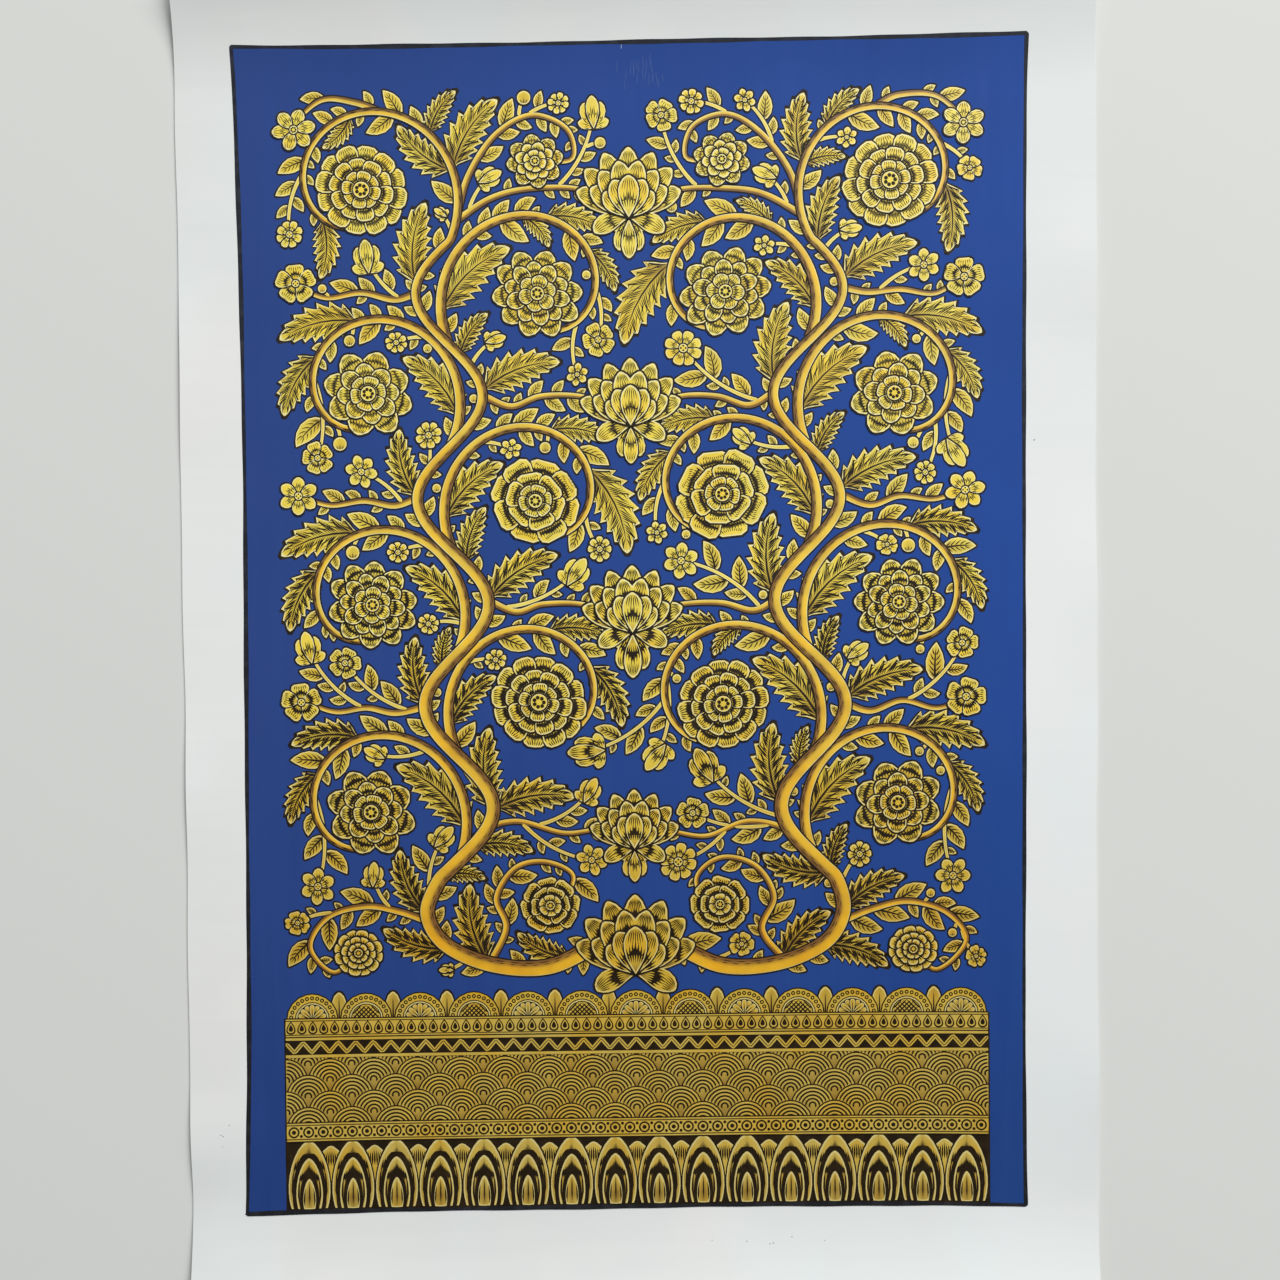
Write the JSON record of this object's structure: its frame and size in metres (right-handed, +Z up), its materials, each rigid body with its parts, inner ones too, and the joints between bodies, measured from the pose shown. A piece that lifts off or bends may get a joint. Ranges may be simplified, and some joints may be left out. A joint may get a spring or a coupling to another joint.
{
  "type": "pichwai painting",
  "caption": "Flat rectangular painting on primed cotton cloth: gold scrolls, blossoms and border bands on a blue ground, with a plain off-white margin, laid face up.",
  "frame": {"origin": "middle of the cloth's outline, on the surface that it lies on", "axes": "+Z up out of the painted face, +Y towards the top of the painting, +X to its right"},
  "size_m": [0.3548, 0.5178, 0.0096],
  "materials": {
    "primed_cotton": "matt, fine plain weave under a smooth chalky priming",
    "blue_paint": "matt opaque pigment in a thin film, faintly streaked by the brush",
    "gold_paint": "satin ochre and gold pigment, laid on in strokes",
    "black_line": "matt black outline and shading strokes, ruled and drawn by brush"
  },
  "bodies": {
    "root": {"cloth": "primed_cotton"}
  },
  "joints": []
}
